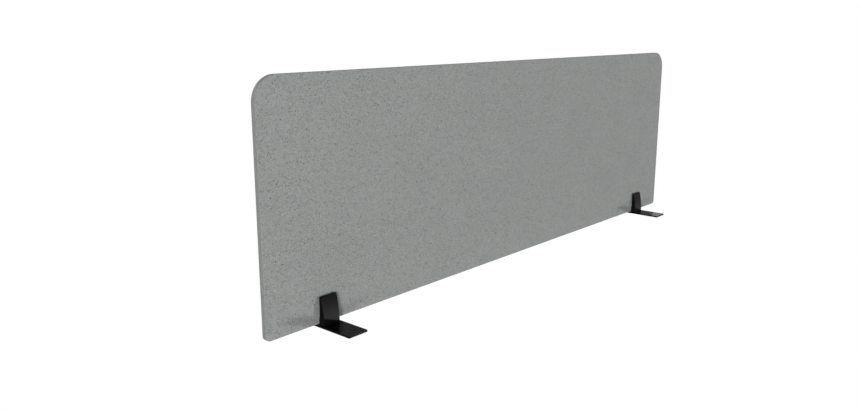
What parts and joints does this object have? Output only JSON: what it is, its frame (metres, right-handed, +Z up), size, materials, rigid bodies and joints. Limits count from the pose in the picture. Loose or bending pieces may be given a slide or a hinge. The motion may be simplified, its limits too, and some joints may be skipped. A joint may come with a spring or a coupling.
{
  "type": "desk privacy panel",
  "caption": "Free-standing desk divider: a flat felt acoustic board with rounded corners, held upright by slide-on clamp feet with flat base plates.",
  "frame": {"origin": "on the standing surface, below the middle of the board", "axes": "+X along the board, +Y to its rear, +Z up"},
  "size_m": [1.6, 0.195, 0.5045],
  "materials": {
    "felt": "pressed needle-felt board, light grey with fine flecks",
    "black_powder_coat": "smooth black powder coat, semi-gloss",
    "jaw_plastic": "moulded black nylon, semi-gloss",
    "shoe_rubber": "matt black",
    "screw_steel": "black-oxide steel",
    "insert_brass": "turned brass",
    "pad_rubber": "matt black anti-slip rubber"
  },
  "bodies": {
    "panel": {"felt_board": "felt"},
    "left_shoe": {"left_grip_shoe": "shoe_rubber"},
    "left_foot": {"left_base_plate": "black_powder_coat", "left_front_jaw": "jaw_plastic", "left_front_inserts": "insert_brass", "left_front_screws": "screw_steel", "left_front_pad": "pad_rubber", "left_rear_jaw": "jaw_plastic", "left_rear_inserts": "insert_brass", "left_rear_screws": "screw_steel", "left_rear_pad": "pad_rubber"},
    "right_shoe": {"right_grip_shoe": "shoe_rubber"},
    "right_foot": {"right_base_plate": "black_powder_coat", "right_front_jaw": "jaw_plastic", "right_front_inserts": "insert_brass", "right_front_screws": "screw_steel", "right_front_pad": "pad_rubber", "right_rear_jaw": "jaw_plastic", "right_rear_inserts": "insert_brass", "right_rear_screws": "screw_steel", "right_rear_pad": "pad_rubber"}
  },
  "joints": [
    {"name": "left_foot_slide", "type": "slide", "parent": "panel", "child": "left_shoe", "axis": [1, 0, 0], "range_m": [-0.115, 0.575]},
    {"name": "left_foot_pull_off", "type": "slide", "parent": "left_shoe", "child": "left_foot", "axis": [0, 0, -1], "range_m": [0, 0.08]},
    {"name": "right_foot_slide", "type": "slide", "parent": "panel", "child": "right_shoe", "axis": [1, 0, 0], "range_m": [-0.585, 0.105]},
    {"name": "right_foot_pull_off", "type": "slide", "parent": "right_shoe", "child": "right_foot", "axis": [0, 0, -1], "range_m": [0, 0.08]}
  ]
}
